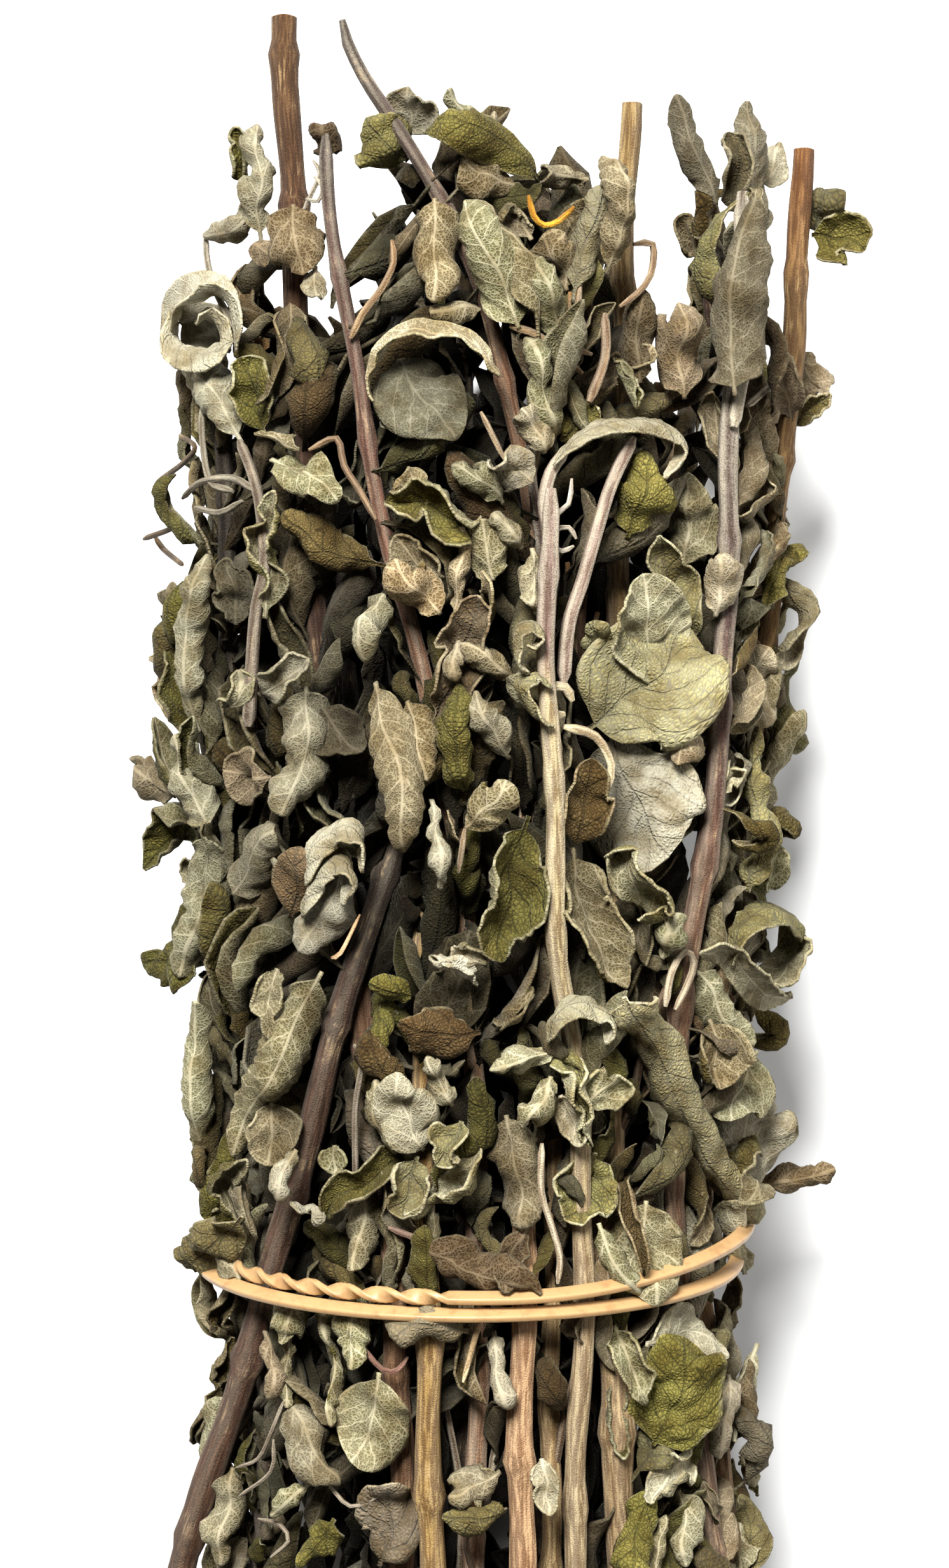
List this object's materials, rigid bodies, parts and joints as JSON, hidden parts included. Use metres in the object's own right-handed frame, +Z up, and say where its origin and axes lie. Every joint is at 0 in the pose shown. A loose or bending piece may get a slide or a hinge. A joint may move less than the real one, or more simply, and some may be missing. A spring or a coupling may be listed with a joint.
{
  "type": "dried sage bundle",
  "caption": "Dried sage sprigs lying in a bundle: woody stems with curled felted leaves, held at the waist by a doubled rubber band.",
  "frame": {"origin": "on the surface that the bundle lies on, under the middle of its bounding box", "axes": "+Y along the stems towards the leafy tips, +X across the bundle, +Z up from the surface"},
  "size_m": [0.1172, 0.3002, 0.0858],
  "materials": {
    "stem_brown": "dry fuzzy purple-brown bark",
    "stem_pale": "dry straw-coloured bark, slightly ridged",
    "leaf_green": "dried, pebbled, olive green",
    "leaf_silver": "dried, felted, silvery grey with pale veins",
    "leaf_dark": "dried, brown and brittle",
    "rubber_band": "tan, slightly translucent, satin"
  },
  "bodies": {
    "root": {"stem_tall_cut": "stem_pale", "stem_long_diagonal": "stem_brown", "stem_short_diagonal": "stem_brown", "stem_straw_cut": "stem_pale", "stem_woolly": "stem_brown", "stem_right_cut": "stem_brown", "stem_silver_sprig": "stem_pale", "stem_dark_crossing": "stem_brown", "stem_ochre": "stem_brown", "stem_split_pale": "stem_pale", "stem_11": "stem_brown", "stem_12": "stem_brown", "stem_13": "stem_pale", "stem_14": "stem_brown", "stem_15": "stem_brown", "stem_16": "stem_pale", "stem_17": "stem_brown", "stem_18": "stem_brown", "stem_19": "stem_pale", "stem_20": "stem_brown", "stem_21": "stem_brown", "stem_22": "stem_pale", "stem_23": "stem_brown", "stem_24": "stem_brown", "stem_25": "stem_pale", "stem_26": "stem_brown", "rubber_band": "rubber_band", "leaves_broad_front": "leaf_green", "leaves_silver_front": "leaf_silver", "leaves_hooked_front": "leaf_dark", "leaves_long_roll": "leaf_green", "leaves_over_band_right": "leaf_silver", "leaves_ring_curl": "leaf_dark", "leaves_woolly_side": "leaf_green", "leaves_rosette": "leaf_silver", "leaves_over_band_middle": "leaf_dark", "leaves_below_band_left": "leaf_green", "leaves_below_band_right": "leaf_silver", "leaves_heart_shaped": "leaf_dark", "leaves_arched_dry": "leaf_green", "leaves_tall_rolled": "leaf_silver", "leaves_spikes": "leaf_dark", "leaves_woolly_tip": "leaf_green", "leaves_tall_middle": "leaf_silver", "leaves_tall_lower": "leaf_dark", "leaves_woolly_middle": "leaf_green", "leaves_short_middle": "leaf_silver", "leaves_short_lower": "leaf_dark", "leaves_right_tip": "leaf_green", "leaves_right_middle": "leaf_silver", "leaves_right_lower": "leaf_dark", "leaves_01": "leaf_green", "leaves_02": "leaf_silver", "leaves_03": "leaf_dark", "leaves_04": "leaf_green", "leaves_05": "leaf_silver", "leaves_06": "leaf_dark", "leaves_07": "leaf_green", "leaves_08": "leaf_silver", "leaves_09": "leaf_dark"}
  },
  "joints": []
}
